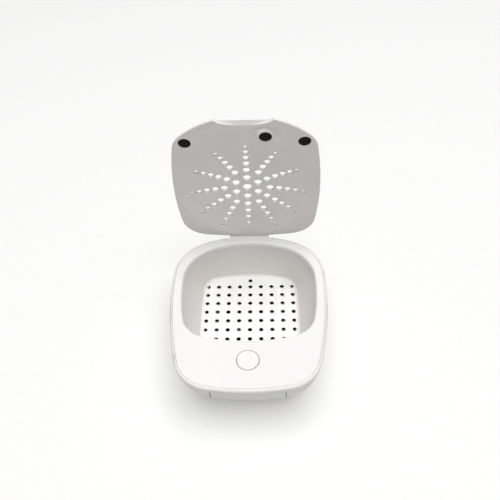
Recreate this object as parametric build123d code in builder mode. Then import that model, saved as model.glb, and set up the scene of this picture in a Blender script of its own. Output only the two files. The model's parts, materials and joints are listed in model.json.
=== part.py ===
"""Hearing aid dryer: a small warm-air drying box with a vented flip lid.

Millimetres, +Z up, front at -Y. The feet stand on Z = 0 and the origin lies under the middle of
the whole object with its lid open, as it stands at rest. Plan sizes are counted from the middle
of the base, and the lid's from its closed place over the base.
"""

from build123d import *
from dataclasses import dataclass, fields
from math import cos, hypot, pi, radians, sin, sqrt
import os

os.makedirs("parts", exist_ok=True)


# ---------------------------------------------------------------- outlines


@dataclass(frozen=True)
class Outline:
    """Rounded-square plan of eight arcs, each tangent to the next, widest at y = widest."""

    half_width: float
    front: float
    rear: float
    widest: float
    side_r: float
    front_r: float
    rear_r: float
    front_corner_r: float
    rear_corner_r: float

    def inset(self, d):
        """Return the outline that lies d inside this one."""
        edges = (self.half_width - d, self.front + d, self.rear - d, self.widest)
        radii = (self.side_r, self.front_r, self.rear_r, self.front_corner_r, self.rear_corner_r)
        return Outline(*edges, *(r - d for r in radii))

    def drawn_in(self, insets, behind_widest, radii):
        """Return an outline of other radii, inside this one by insets at its sides, front and rear."""
        side, front, rear_inset = insets
        rear = self.rear - rear_inset
        return Outline(self.half_width - side, self.front + front, rear, rear - behind_widest, *radii)

    def blend(self, other, share):
        """Return the outline a share of the way from this one to the other."""
        pairs = [(getattr(self, f.name), getattr(other, f.name)) for f in fields(self)]
        return Outline(*(a + share * (b - a) for a, b in pairs))

    def corner(self, end_centre, end_r, corner_r, turn):
        """Return the end point, middle and side point of a corner arc; turn is 1 in front, -1 behind."""
        side_x = self.half_width - self.side_r
        dy = end_centre - self.widest
        apart = hypot(side_x, dy)
        to_side = self.side_r - corner_r
        to_end = end_r - corner_r
        along = (to_side**2 - to_end**2 + apart**2) / (2 * apart)
        across = sqrt(to_side**2 - along**2)
        cx = side_x + (turn * across * dy - along * side_x) / apart
        cy = self.widest + (along * dy + turn * across * side_x) / apart
        by_side = self.side_r / to_side
        by_end = end_r / to_end
        side_point = (side_x + (cx - side_x) * by_side, self.widest + (cy - self.widest) * by_side)
        end_point = (cx * by_end, end_centre + (cy - end_centre) * by_end)
        mx = (side_point[0] + end_point[0]) / 2 - cx
        my = (side_point[1] + end_point[1]) / 2 - cy
        reach = corner_r / hypot(mx, my)
        return end_point, (cx + mx * reach, cy + my * reach), side_point

    def draw(self):
        """Draw the eight arcs in the line that is being built."""
        front = self.corner(self.front + self.front_r, self.front_r, self.front_corner_r, 1)
        rear = self.corner(self.rear - self.rear_r, self.rear_r, self.rear_corner_r, -1)
        right = [*front, (self.half_width, self.widest), *reversed(rear), (0, self.rear)]
        left = [(-x, y) for x, y in reversed(right[:-1])]
        ring = right + left + [(0, self.front), front[0]]
        for i in range(0, len(ring) - 1, 2):
            ThreePointArc(*ring[i:i + 3])


# ---------------------------------------------------------------- driving dimensions

# Levels of the base
base_height = 34.0          # feet to the deck and the rim
foot_proud = 1.0            # rubber feet below the bottom cover
cover_thick = 1.6
slot_depth = 4.8            # hinge slot below the deck

# Base walls
base_width = 73.5
base_depth = 90.0
rim_behind_widest = 33.6                        # widest place to the rear edge
rim_radii = (172.0, 103.0, 57.3, 17.0, 23.4)    # sides, front, rear, front corners, rear corners
foot_insets = (8.75, 14.2, 3.0)                 # sides, front and rear, inside the rim
foot_behind_widest = 34.0
foot_radii = (150.0, 79.0, 66.0, 8.5, 10.5)
wall_curve = 1.35           # how soon the wall turns upright below the rim
wall_mid_levels = (9.0, 19.0)
wall = 2.1
rim_upright = 1.5           # upright band of wall under the deck level
rim_round = 1.3
foot_round = 0.8
deck_inset = 1.25           # rim edge to the deck's parting line
seam = 0.12                 # joint between two mouldings

# Deck and drying chamber
deck_thick = 2.0
mouth_insets = (5.05, 25.0, 5.7)
mouth_behind_widest = 27.1
mouth_radii = (98.5, 80.0, 51.5, 13.0, 21.7)
bowl_insets = (12.15, 36.8, 6.6)                # at the bowl's foot, inside the rim
bowl_behind_widest = 23.4
bowl_radii = (400.0, 150.0, 84.0, 8.0, 8.0)
bowl_flare = 0.56           # share of the flare reached at half height
bowl_wall = 1.3
slot_wall = 1.4             # mouth to the hinge slot
mouth_upright = 1.3         # upright lip of the mouth
mouth_round = 1.0

# Perforated floor
grille_thick = 1.0
grille_margin = 1.0         # bowl foot to the edge of the grille
grille_gap = 0.05
grille_ledge = 0.8
ledge_thick = 0.6
hole_pitch = 5.5
hole_r = 1.0
hole_side_margin = 2.0      # bowl foot to the middle of the outer columns, at least
hole_end_margin = 4.0       # bowl foot to the rows' own strips, at least
hole_shift = -1.8           # rows' middle from the middle of the bowl foot
rear_hole_margin = 4.5      # single hole behind the rows

# Front panel
panel_half_top = 15.7
panel_half_bottom = 16.9
panel_drop = 3.4            # deck level down to the panel's top edge
panel_reach = 6.0           # foot's front edge to the back of the panel's cut

# Lid, in its closed place
lid_open = 79.0             # degrees from closed to the open rest
lid_insets = (3.25, 3.1, 4.5)                   # inside the rim
lid_behind_widest = 32.4
lid_radii = (186.0, 39.0, 141.0, 12.2, 13.2)
lid_gap = 0.3               # deck to the closed lid's edge
hollow_rise = 5.6           # dome of the inner face over its edge
hollow_side_lip = 0.7
hollow_end_lip = 1.0
skin_rise = 7.6             # top of the dome over the lid's edge
skin_side_drop = 3.4        # top of the dome down to the skin's edges
skin_end_drop = 4.1
lid_round = 2.0
notch_half = 10.6
notch_depth = 4.2           # from the front edge that the notch cuts away

# Star of vents in the lid
vent_shift = 7.65           # behind the lid's middle
vent_rays = 12
vent_slimness = 0.908       # the star's length to width, as a share of the lid's
vent_shares = (0.175, 0.32, 0.4475, 0.5633, 0.6722, 0.7758)     # of the lid's half width
vent_middle_r = 1.7
vent_hole_r = (1.5, 1.42, 1.34, 1.22, 1.05, 0.75)

# Hinge
hinge_inset = 2.54          # rim's rear edge to the hinge line
hinge_drop = 2.25           # deck level down to the hinge line
barrel_r = 1.35
pin_r = 0.6
pin_clearance = 0.04
pin_short = 0.2             # pin ends short of the ears' outer faces
tongue_width = 20.1
tongue_gap = 0.35
ear_thick = 1.3
arm_rise = 0.6              # rear face of the tongue's arm over the lid's edge level
arm_round = 1.2

# Magnets
magnet_r = 2.65
magnet_thick = 1.5
magnet_recess = 0.15
magnet_clearance = 0.05
ring_wall = 0.95
boss_depth = 3.0
corner_magnet_insets = (8.6, 14.4)              # from the lid's side and front edges
sensor_magnet_x = 8.7
sensor_magnet_inset = 11.5
rib_height = 1.2

# Button
button_inset = 14.9         # rim's front edge to the button's middle
button_r = 4.75
button_gap = 0.3
button_proud = 0.3
button_round = 0.35
flange_over = 1.0
flange_thick = 0.9
flange_gap = 0.1
button_travel = 0.6
stem_r = 1.5
stem_clearance = 0.05
spring_r = 5.0
spring_wire_r = 0.22
spring_wire_sides = 6
spring_turns = 4

# Control board
board_width = 38.0
board_depth = 15.0
board_thick = 1.2
board_corner_r = 1.0
board_drop = 6.8            # deck level down to the board's top face
post_r = 2.0
post_inset = (3.0, 2.5)     # board's edges to the middle of its posts
switch_size = 6.0
switch_height = 2.2
plunger_depth = 0.7
plunger_proud = 0.5
chip_size = 7.0
chip_height = 1.0
chip_inset = 11.0           # board's other side to the chip's middle
connector_size = (9.0, 4.0, 3.0)
connector_inset = 10.0      # board's side to the connector's middle
led_size = (1.6, 0.8, 0.7)
led_y = 3.85                # from the button's middle
sensor_size = (4.0, 1.6, 3.0)

# Fan and heater
fan_size = 30.0
fan_height = 6.0
fan_round = 2.0
fan_rim = 1.0               # fan's side to its bore
fan_hole_inset = 3.0
fan_hole_r = 1.5
fan_blades = 7
blade_gap = 0.5
blade_thick = 0.7
blade_chord = 5.0
blade_tilt = 42
hub_share = 0.25            # hub's radius as a share of the fan's side
hub_wall = 1.0
hub_height = 4.1
base_disc_thick = 0.8
spoke_width = 1.6
bearing_r = 1.8
bearing_height = 3.2
shaft_r = 0.75
shaft_clearance = 0.04
shaft_gap = 0.1
stator_rim_gap = 0.6
stator_height = 2.6
stator_gap = 0.2
spreader_thick = 0.8
spreader_inset = 0.3
spreader_slot_over = 1.0    # slots past the middles of the outer holes
spreader_slot_width = 3.0
heater_size = (4.0, 18.0, 2.2)
heater_gap = 1.9            # fan to the heating elements beside it
heater_shift = -7.3         # elements' middle from the fan's
fuse_r = 1.1
fuse_length = 9.0
fuse_gap = 1.7              # fan to the fuse in front of it

# Power inlet
inlet_width = 9.0
inlet_height = 3.2
inlet_length = 7.3
inlet_z = 6.2
inlet_wall = 0.3
inlet_gap = 0.2
inlet_recess = 0.7
contact_depth = 2.0
contact_tongue = (6.7, 0.7, 4.6)
inlet_board_size = (14.0, 6.6, 1.0)
inlet_post_r = 1.5
inlet_post_inset = 2.0      # board's side to the middle of its posts

# Bottom
pad_r = 3.5
pad_recess = 0.6
pad_gap = 0.05
pad_insets = (9.5, 9.8, 11.5)                   # inside the foot's sides, front and rear
screw_insets = (6.5, 18.3, 22.0)
screw_r = 0.95
screw_head_r = 1.9
screw_head = 1.0
screw_length = 4.6
screw_gap = 0.05
boss_r = 2.6
boss_gap = 0.2
intake_slots = 10
intake_slot = (7.5, 2.2)
intake_margin = 1.0         # intake slots to the fan's bore
peg_height = 3.0
peg_gap = 0.2

# ---------------------------------------------------------------- derived places


def arc_radius(half_chord, height):
    """Return the radius of an arc from its half chord and its height."""
    return (half_chord**2 + height**2) / (2 * height)



deck_top = base_height
shell_foot = foot_proud
base_box = (base_width / 2, -base_depth / 2, base_depth / 2, base_depth / 2 - rim_behind_widest)
rim = Outline(*base_box, *rim_radii)
foot = rim.drawn_in(foot_insets, foot_behind_widest, foot_radii)
mouth = rim.drawn_in(mouth_insets, mouth_behind_widest, mouth_radii)
bowl_foot = rim.drawn_in(bowl_insets, bowl_behind_widest, bowl_radii)
lid_plan = rim.drawn_in(lid_insets, lid_behind_widest, lid_radii)
cover_top = shell_foot + cover_thick
spreader_bottom = cover_top + fan_height
bowl_bottom = spreader_bottom + spreader_thick
grille_bottom = bowl_bottom + ledge_thick
chamber_floor = grille_bottom + grille_thick
ledge = deck_top - deck_thick
board_top = deck_top - board_drop
flange_bottom = ledge - flange_gap - flange_thick
plunger_top = board_top + switch_height + plunger_proud
hinge_y = rim.rear - hinge_inset
hinge_z = deck_top - hinge_drop
lid_seat = deck_top + lid_gap
slot_half = tongue_width / 2 + tongue_gap
ear_outer = slot_half + ear_thick
slot_floor = deck_top - slot_depth
slot_front = mouth.rear + slot_wall
panel_top = deck_top - panel_drop
rim_low = deck_top - rim_upright
lip_foot = deck_top - mouth_upright
wall_levels = (shell_foot + foot_round, *wall_mid_levels, rim_low)
button_y = rim.front + button_inset
post_x = board_width / 2 - post_inset[0]
post_y = board_depth / 2 - post_inset[1]
corner_magnet = (lid_plan.half_width - corner_magnet_insets[0], lid_plan.front + corner_magnet_insets[1])
sensor_magnet = (sensor_magnet_x, lid_plan.front + sensor_magnet_inset)
hole_columns = 2 * int((bowl_foot.half_width - hole_side_margin) / hole_pitch) + 1
hole_rows = int((bowl_foot.rear - bowl_foot.front - 2 * hole_end_margin) / hole_pitch)
hole_middle_y = (bowl_foot.front + bowl_foot.rear) / 2 + hole_shift
rear_hole_y = bowl_foot.rear - rear_hole_margin
pad_x = foot.half_width - pad_insets[0]
pad_places = ((pad_x, foot.front + pad_insets[1]), (pad_x, foot.rear - pad_insets[2]))
screw_x = foot.half_width - screw_insets[0]
screw_places = ((screw_x, foot.front + screw_insets[1]), (screw_x, foot.rear - screw_insets[2]))
spring_pitch = (flange_bottom - board_top - 2 * spring_wire_r) / spring_turns
fan_bore_r = fan_size / 2 - fan_rim
fan_hole_pitch = fan_size - 2 * fan_hole_inset
hub_r = hub_share * fan_size
stator_r = hub_r - hub_wall - stator_rim_gap
intake_r = fan_bore_r - intake_margin - intake_slot[0] / 2
hub_top = spreader_bottom - blade_gap
blade_z = hub_top - hub_height / 2
heater_x = fan_size / 2 + heater_gap + heater_size[0] / 2
far = base_depth            # past every wall, for cuts

lid_middle_y = (lid_plan.front + lid_plan.rear) / 2
lid_half = (lid_plan.rear - lid_plan.front) / 2
hollow_cross_r = arc_radius(lid_plan.half_width - hollow_side_lip, hollow_rise)
hollow_long_r = arc_radius(lid_half - hollow_end_lip, hollow_rise)
skin_cross_r = arc_radius(lid_plan.half_width, skin_side_drop)
skin_long_r = arc_radius(lid_half, skin_end_drop)
vent_middle_y = lid_middle_y + vent_shift
vent_stretch = vent_slimness * lid_half / lid_plan.half_width

# The lid's skin above its rounded rear edge decides how far the open lid reaches behind.
back_y = lid_plan.rear - lid_round
back_z = lid_seat + skin_rise - skin_long_r + sqrt(skin_long_r**2 - (back_y - lid_middle_y)**2)
open_angle = radians(lid_open)
lid_back = hinge_y + (back_y - hinge_y) * cos(open_angle) + (back_z - hinge_z) * sin(open_angle)
plan_y = -(rim.front + lid_back) / 2


# ---------------------------------------------------------------- planes and shared forms


def level(z):
    """Return the horizontal plane at height z, centred on the base's plan."""
    return Plane((0, plan_y, z))


def upright(x=0.0):
    """Return the plane of constant x whose own axes are the plan's y and the height."""
    return Plane((x, plan_y, 0), x_dir=(0, 1, 0), z_dir=(1, 0, 0))


def rear_plane(y):
    """Return the plane at the plan's y that faces the rear, whose own axes are -x and the height."""
    return Plane((0, plan_y + y, 0), x_dir=(-1, 0, 0), z_dir=(0, 1, 0))


def blade_direction(blade):
    """Return the direction in which a fan blade points."""
    turn = 2 * pi * blade / fan_blades
    return (cos(turn), sin(turn), 0)


def lid_level(z):
    """Return the plane at height z over the closed base, turned with the open lid."""
    y = plan_y + hinge_y - hinge_y * cos(open_angle) + (z - hinge_z) * sin(open_angle)
    up = hinge_z + hinge_y * sin(open_angle) + (z - hinge_z) * cos(open_angle)
    return Plane((0, y, up), x_dir=(1, 0, 0), z_dir=(0, sin(open_angle), cos(open_angle)))


def lid_upright(x=0.0):
    """Return the lid's lengthwise plane at x, whose own axes are the closed y and height."""
    flat = lid_level(0)
    return Plane(flat.origin + Vector(x, 0, 0), x_dir=flat.y_dir, z_dir=(1, 0, 0))


def outline_face(outline, plane):
    """Return the outline's face on a plane."""
    with BuildSketch(plane) as sketch:
        with BuildLine():
            outline.draw()
        make_face()
    return sketch.sketch


def wall_outline(z):
    """Return the base's outer wall at height z: tapered at the foot, upright under the rim."""
    rise = min(1, max(0, z - shell_foot - foot_round) / (rim_low - shell_foot - foot_round))
    return foot.blend(rim, 1 - (1 - rise)**wall_curve)


def wall_sections(inset, heights):
    """Return the base wall's faces at some heights, drawn in by inset."""
    return [outline_face(wall_outline(z).inset(inset), level(z)) for z in heights]


def bowl_sections(outset, low, high):
    """Return the chamber's faces from low to high, let out by outset."""
    outlines = [bowl_foot, bowl_foot.blend(mouth, bowl_flare), mouth]
    heights = [low, (low + high) / 2, high]
    return [outline_face(o.inset(-outset), level(z)) for o, z in zip(outlines, heights)]


def dome(top, cross_r, long_r):
    """Return a barrel-shaped solid whose top is a dome of the lid, curved both across and along."""
    plane = lid_upright()
    half = lid_plan.rear - lid_plan.front
    end = top - long_r + sqrt(long_r**2 - half**2)
    axis_z = top - cross_r
    with BuildPart() as barrel:
        with BuildSketch(plane):
            with BuildLine():
                ThreePointArc((lid_middle_y - half, end), (lid_middle_y, top), (lid_middle_y + half, end))
                Line((lid_middle_y + half, end), (lid_middle_y + half, axis_z))
                Line((lid_middle_y + half, axis_z), (lid_middle_y - half, axis_z))
                Line((lid_middle_y - half, axis_z), (lid_middle_y - half, end))
            make_face()
        revolve(axis=Axis(plane.from_local_coords((0, axis_z)), plane.x_dir))
    return barrel.part


def mirrored(places):
    """Return the places with their mirror images across the middle."""
    return [(side * x, y) for x, y in places for side in (-1, 1)]


def wedge(extra):
    """Return the block of front wall between the two seams, let out by extra."""
    with BuildPart() as block:
        with BuildSketch(Plane((0, plan_y - far, 0), x_dir=(1, 0, 0), z_dir=(0, -1, 0))):
            with BuildLine():
                top = (panel_half_top + extra, panel_top + extra)
                bottom = (panel_half_bottom + extra, 0)
                Polyline(top, bottom, (-bottom[0], 0), (-top[0], top[1]), close=True)
            make_face()
        extrude(amount=-(far + foot.front + panel_reach))
    return block.part


def save(piece, name):
    """Label a finished piece and write it."""
    piece.part.label = name
    export_step(piece.part, f"parts/{name}.step")


inlet_front = wall_outline(inlet_z).rear - inlet_recess - inlet_length
inlet_board_bottom = inlet_z - inlet_height / 2 - inlet_board_size[2]
inlet_board_y = wall_outline(inlet_board_bottom).rear - wall - inlet_recess - inlet_board_size[1] / 2

# ---------------------------------------------------------------- base mouldings

with BuildPart() as wall_block:
    loft([outline_face(foot.inset(foot_round), level(shell_foot)), *wall_sections(0, wall_levels[:1])], ruled=True)
    loft(wall_sections(0, wall_levels))
    extrude(outline_face(rim, level(rim_low)), amount=rim_upright)
    fillet(wall_block.edges().group_by(Axis.Z)[-1], rim_round)

# The hollow inside the walls leaves out the hinge block behind and the four screw bosses.
with BuildPart() as cavity:
    loft(wall_sections(wall, (shell_foot, *wall_levels[1:-1], ledge)), ruled=True)
    extrude(outline_face(rim.inset(deck_inset), level(ledge)), amount=far)
    with BuildSketch(level(slot_floor - wall)):
        with Locations((0, slot_front + seam + far / 2)):
            Rectangle(2 * ear_outer, far)
    extrude(amount=far, mode=Mode.SUBTRACT)
    with BuildSketch(level(cover_top)):
        with Locations(*mirrored(screw_places)):
            Circle(boss_r)
        with Locations(*((x + (far if x > 0 else -far), y) for x, y in mirrored(screw_places))):
            Rectangle(2 * far, 2 * boss_r)
    extrude(amount=fan_height - boss_gap, mode=Mode.SUBTRACT)

with BuildPart() as wall_shell:
    add(wall_block.part)
    add(cavity.part, mode=Mode.SUBTRACT)

with BuildPart() as outer_shell:
    add(wall_shell.part)
    with BuildSketch(level(slot_floor)):
        with Locations((0, slot_front + far / 2)):
            Rectangle(2 * slot_half, far)
    extrude(amount=far, mode=Mode.SUBTRACT)
    with BuildSketch(upright(-ear_outer)):
        with Locations((hinge_y, hinge_z)):
            Circle(pin_r + pin_clearance)
    extrude(amount=2 * ear_outer, mode=Mode.SUBTRACT)
    with BuildSketch(level(cover_top)):
        with Locations(*mirrored(screw_places)):
            Circle(screw_r + screw_gap)
    extrude(amount=screw_length, mode=Mode.SUBTRACT)
    with BuildSketch(rear_plane(hole_middle_y)):
        with Locations((0, inlet_z)):
            SlotOverall(inlet_width + 2 * inlet_gap, inlet_height + 2 * inlet_gap)
    extrude(amount=far, mode=Mode.SUBTRACT)
    add(wedge(seam), mode=Mode.SUBTRACT)
save(outer_shell, "outer_shell")

with BuildPart() as front_panel:
    add(wall_shell.part)
    add(wedge(0), mode=Mode.INTERSECT)
save(front_panel, "front_panel")

with BuildPart() as bowl_hollow:
    loft(bowl_sections(0, chamber_floor, lip_foot))
    extrude(outline_face(mouth, level(lip_foot)), amount=far)

with BuildPart() as drying_bowl:
    loft(bowl_sections(bowl_wall, bowl_bottom, lip_foot), ruled=True)
    add(bowl_hollow.part, mode=Mode.SUBTRACT)
    extrude(outline_face(bowl_foot.inset(grille_margin), level(grille_bottom)), amount=far,
            mode=Mode.SUBTRACT)
    extrude(outline_face(bowl_foot.inset(grille_margin + grille_ledge), level(bowl_bottom)), amount=far,
            mode=Mode.SUBTRACT)
    split(bisect_by=level(ledge), keep=Keep.BOTTOM)
save(drying_bowl, "drying_bowl")

with BuildPart() as top_deck:
    extrude(outline_face(rim.inset(deck_inset + seam), level(ledge)), amount=deck_thick)
    add(bowl_hollow.part, mode=Mode.SUBTRACT)
    fillet(top_deck.faces().sort_by(Axis.Z)[-1].inner_wires()[0].edges(), mouth_round)
    with BuildSketch(level(ledge)):
        with Locations((0, slot_front + far / 2)):
            Rectangle(2 * (ear_outer + seam), far)
        with Locations((0, button_y)):
            Circle(button_r + button_gap)
    extrude(amount=far, mode=Mode.SUBTRACT)
    with BuildSketch(level(ledge)):
        with Locations((0, button_y)):
            with GridLocations(2 * post_x, 2 * post_y, 2, 2):
                Circle(post_r)
    extrude(amount=board_top - ledge)
    with BuildSketch(level(ledge)):
        with Locations(*mirrored([corner_magnet])):
            Circle(magnet_r + magnet_clearance + ring_wall)
            Circle(magnet_r + magnet_clearance, mode=Mode.SUBTRACT)
    extrude(amount=-rib_height)
    with BuildSketch(level(board_top)):
        with Locations((0, button_y)):
            with GridLocations(2 * post_x, 2 * post_y, 2, 2):
                Circle(screw_r + screw_gap)
    extrude(amount=screw_length - board_thick, mode=Mode.SUBTRACT)
save(top_deck, "top_deck")

with BuildPart() as chamber_grille:
    extrude(outline_face(bowl_foot.inset(grille_margin + grille_gap), level(grille_bottom)), amount=grille_thick)
    with BuildSketch(level(grille_bottom)):
        with Locations((0, hole_middle_y)):
            with GridLocations(hole_pitch, hole_pitch, hole_columns, hole_rows):
                Circle(hole_r)
        with Locations((0, rear_hole_y)):
            Circle(hole_r)
    extrude(amount=grille_thick, mode=Mode.SUBTRACT)
save(chamber_grille, "chamber_grille")

with BuildPart() as bottom_cover:
    extrude(outline_face(foot.inset(wall + seam), level(shell_foot)), amount=cover_thick)
    with BuildSketch(level(cover_top)):
        with Locations((0, hole_middle_y)):
            with GridLocations(fan_hole_pitch, fan_hole_pitch, 2, 2):
                Circle(fan_hole_r - peg_gap)
    extrude(amount=peg_height)
    with BuildSketch(level(cover_top)):
        with Locations((0, inlet_board_y)):
            with GridLocations(inlet_board_size[0] - 2 * inlet_post_inset, 1, 2, 1):
                Circle(inlet_post_r)
    extrude(amount=inlet_board_bottom - cover_top)
    with BuildSketch(level(shell_foot)):
        with Locations((0, hole_middle_y)):
            with PolarLocations(intake_r, intake_slots):
                SlotOverall(*intake_slot)
        with Locations(*mirrored(screw_places)):
            Circle(screw_r + 2 * screw_gap)
    extrude(amount=cover_thick, mode=Mode.SUBTRACT)
    with BuildSketch(level(shell_foot)):
        with Locations(*mirrored(screw_places)):
            Circle(screw_head_r + screw_gap)
    extrude(amount=screw_head, mode=Mode.SUBTRACT)
    with BuildSketch(level(shell_foot)):
        with Locations(*mirrored(pad_places)):
            Circle(pad_r + pad_gap)
    extrude(amount=pad_recess, mode=Mode.SUBTRACT)
save(bottom_cover, "bottom_cover")

with BuildPart() as rubber_feet:
    with BuildSketch(level(0)):
        with Locations(*mirrored(pad_places)):
            Circle(pad_r)
    extrude(amount=foot_proud + pad_recess)
save(rubber_feet, "rubber_feet")

with BuildPart() as cover_screws:
    with BuildSketch(level(shell_foot)):
        with Locations(*mirrored(screw_places)):
            Circle(screw_head_r)
    extrude(amount=screw_head)
    with BuildSketch(level(shell_foot)):
        with Locations(*mirrored(screw_places)):
            Circle(screw_r)
    extrude(amount=screw_head + screw_length)
save(cover_screws, "cover_screws")

# ---------------------------------------------------------------- lid and hinge

lid_skin = dome(lid_seat + skin_rise, skin_cross_r, skin_long_r)
lid_hollow = dome(lid_seat + hollow_rise, hollow_cross_r, hollow_long_r)
notch_y = lid_plan.front + lid_plan.front_r - sqrt(lid_plan.front_r**2 - notch_half**2)

with BuildPart() as lid:
    extrude(outline_face(lid_plan, lid_level(lid_seat)), amount=skin_rise)
    add(lid_skin, mode=Mode.INTERSECT)
    fillet(lid.faces().sort_by(Axis(lid_level(0).origin, lid_level(0).z_dir))[-1].edges(), lid_round)
    add(lid_hollow, mode=Mode.SUBTRACT)
    with BuildSketch(lid_level(lid_seat)):
        with Locations(*mirrored([corner_magnet]), sensor_magnet):
            Circle(magnet_r + magnet_clearance + ring_wall)
    extrude(amount=boss_depth)
    with BuildSketch(lid_level(lid_seat)):
        with Locations(*mirrored([corner_magnet]), sensor_magnet):
            Circle(magnet_r + magnet_clearance)
    extrude(amount=magnet_recess + magnet_thick, mode=Mode.SUBTRACT)
    with BuildSketch(lid_upright(-tongue_width / 2)):
        with BuildLine():
            Polyline((back_y, lid_seat), (hinge_y - barrel_r, lid_seat), (hinge_y - barrel_r, hinge_z))
            ThreePointArc((hinge_y - barrel_r, hinge_z), (hinge_y, hinge_z - barrel_r),
                          (hinge_y + barrel_r, hinge_z))
            Polyline((hinge_y + barrel_r, hinge_z), (hinge_y + barrel_r, lid_seat + arm_rise),
                     (back_y, back_z - arm_rise), (back_y, lid_seat))
        make_face()
    extrude(amount=tongue_width)
    with BuildSketch(lid_upright(-tongue_width / 2)):
        with Locations((hinge_y, hinge_z)):
            Circle(pin_r + pin_clearance)
    extrude(amount=tongue_width, mode=Mode.SUBTRACT)
    with BuildSketch(lid_level(lid_seat)):
        with BuildLine():
            outside = lid_plan.front - lid_round
            ThreePointArc((-notch_half, notch_y), (0, lid_plan.front + notch_depth), (notch_half, notch_y))
            Polyline((notch_half, notch_y), (notch_half, outside), (-notch_half, outside),
                     (-notch_half, notch_y))
        make_face()
    extrude(amount=skin_rise, mode=Mode.SUBTRACT)
    with BuildSketch(lid_level(lid_seat)):
        with Locations((0, vent_middle_y)):
            Circle(vent_middle_r)
        for ray in range(vent_rays):
            turn = 2 * pi * ray / vent_rays
            for ring in range(ray % 2, len(vent_shares)):
                reach = vent_shares[ring] * lid_plan.half_width
                spot = (reach * sin(turn), vent_middle_y + vent_stretch * reach * cos(turn))
                with Locations(spot):
                    Circle(vent_hole_r[ring])
    extrude(amount=far, mode=Mode.SUBTRACT)
save(lid, "lid")

with BuildPart() as lid_corner_magnets:
    with BuildSketch(lid_level(lid_seat + magnet_recess)):
        with Locations(*mirrored([corner_magnet])):
            Circle(magnet_r)
    extrude(amount=magnet_thick)
save(lid_corner_magnets, "lid_corner_magnets")

with BuildPart() as lid_sensor_magnet:
    with BuildSketch(lid_level(lid_seat + magnet_recess)):
        with Locations(sensor_magnet):
            Circle(magnet_r)
    extrude(amount=magnet_thick)
save(lid_sensor_magnet, "lid_sensor_magnet")

with BuildPart() as hinge_pin:
    with BuildSketch(upright(pin_short - ear_outer)):
        with Locations((hinge_y, hinge_z)):
            Circle(pin_r)
    extrude(amount=2 * (ear_outer - pin_short))
save(hinge_pin, "hinge_pin")

with BuildPart() as base_magnets:
    with BuildSketch(level(ledge)):
        with Locations(*mirrored([corner_magnet])):
            Circle(magnet_r)
    extrude(amount=-magnet_thick)
save(base_magnets, "base_magnets")

# ---------------------------------------------------------------- button and control board

with BuildPart() as button_cap:
    with BuildSketch(level(flange_bottom)):
        with Locations((0, button_y)):
            Circle(button_r + flange_over)
    extrude(amount=flange_thick)
    with BuildSketch(level(flange_bottom)):
        with Locations((0, button_y)):
            Circle(button_r)
    extrude(amount=deck_top + button_proud - flange_bottom)
    fillet(button_cap.edges().group_by(Axis.Z)[-1], button_round)
    with BuildSketch(level(flange_bottom)):
        with Locations((0, button_y)):
            Circle(stem_r)
    extrude(amount=plunger_top - flange_bottom)
save(button_cap, "button_cap")

with BuildPart() as button_spring:
    with BuildLine() as coil:
        Helix(pitch=spring_pitch, height=spring_pitch * spring_turns, radius=spring_r,
              center=(0, plan_y + button_y, board_top + spring_wire_r))
    with BuildSketch(coil.line ^ 0):
        RegularPolygon(spring_wire_r, spring_wire_sides)
    sweep(is_frenet=True)
save(button_spring, "button_spring")

with BuildPart() as tact_switch:
    with BuildSketch(level(board_top)):
        with Locations((0, button_y)):
            Rectangle(switch_size, switch_size)
    extrude(amount=switch_height)
    with BuildSketch(level(board_top + switch_height)):
        with Locations((0, button_y)):
            Circle(stem_r + stem_clearance)
    extrude(amount=-plunger_depth - button_travel - flange_gap, mode=Mode.SUBTRACT)
save(tact_switch, "tact_switch")

with BuildPart() as switch_plunger:
    with BuildSketch(level(plunger_top)):
        with Locations((0, button_y)):
            Circle(stem_r)
    extrude(amount=-plunger_proud - plunger_depth)
save(switch_plunger, "switch_plunger")

with BuildPart() as control_board:
    with BuildSketch(level(board_top - board_thick)):
        with Locations((0, button_y)):
            RectangleRounded(board_width, board_depth, board_corner_r)
            with GridLocations(2 * post_x, 2 * post_y, 2, 2):
                Circle(screw_r + 2 * screw_gap, mode=Mode.SUBTRACT)
    extrude(amount=board_thick)
save(control_board, "control_board")

with BuildPart() as board_screws:
    with BuildSketch(level(board_top - board_thick)):
        with Locations((0, button_y)):
            with GridLocations(2 * post_x, 2 * post_y, 2, 2):
                Circle(screw_head_r)
    extrude(amount=-screw_head)
    with BuildSketch(level(board_top - board_thick)):
        with Locations((0, button_y)):
            with GridLocations(2 * post_x, 2 * post_y, 2, 2):
                Circle(screw_r)
    extrude(amount=screw_length)
save(board_screws, "board_screws")

with BuildPart() as controller_chip:
    with BuildSketch(level(board_top - board_thick)):
        with Locations((chip_inset - board_width / 2, button_y)):
            Rectangle(chip_size, chip_size)
    extrude(amount=-chip_height)
save(controller_chip, "controller_chip")

with BuildPart() as board_connector:
    with BuildSketch(level(board_top - board_thick)):
        with Locations((board_width / 2 - connector_inset, button_y)):
            Rectangle(*connector_size[:2])
    extrude(amount=-connector_size[2])
save(board_connector, "board_connector")

with BuildPart() as status_led:
    with BuildSketch(level(board_top)):
        with Locations((0, button_y + led_y)):
            Rectangle(*led_size[:2])
    extrude(amount=led_size[2])
save(status_led, "status_led")

with BuildPart() as lid_sensor:
    with BuildSketch(level(board_top)):
        with Locations(sensor_magnet):
            Rectangle(*sensor_size[:2])
    extrude(amount=sensor_size[2])
save(lid_sensor, "lid_sensor")

# ---------------------------------------------------------------- fan and heater

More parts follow.
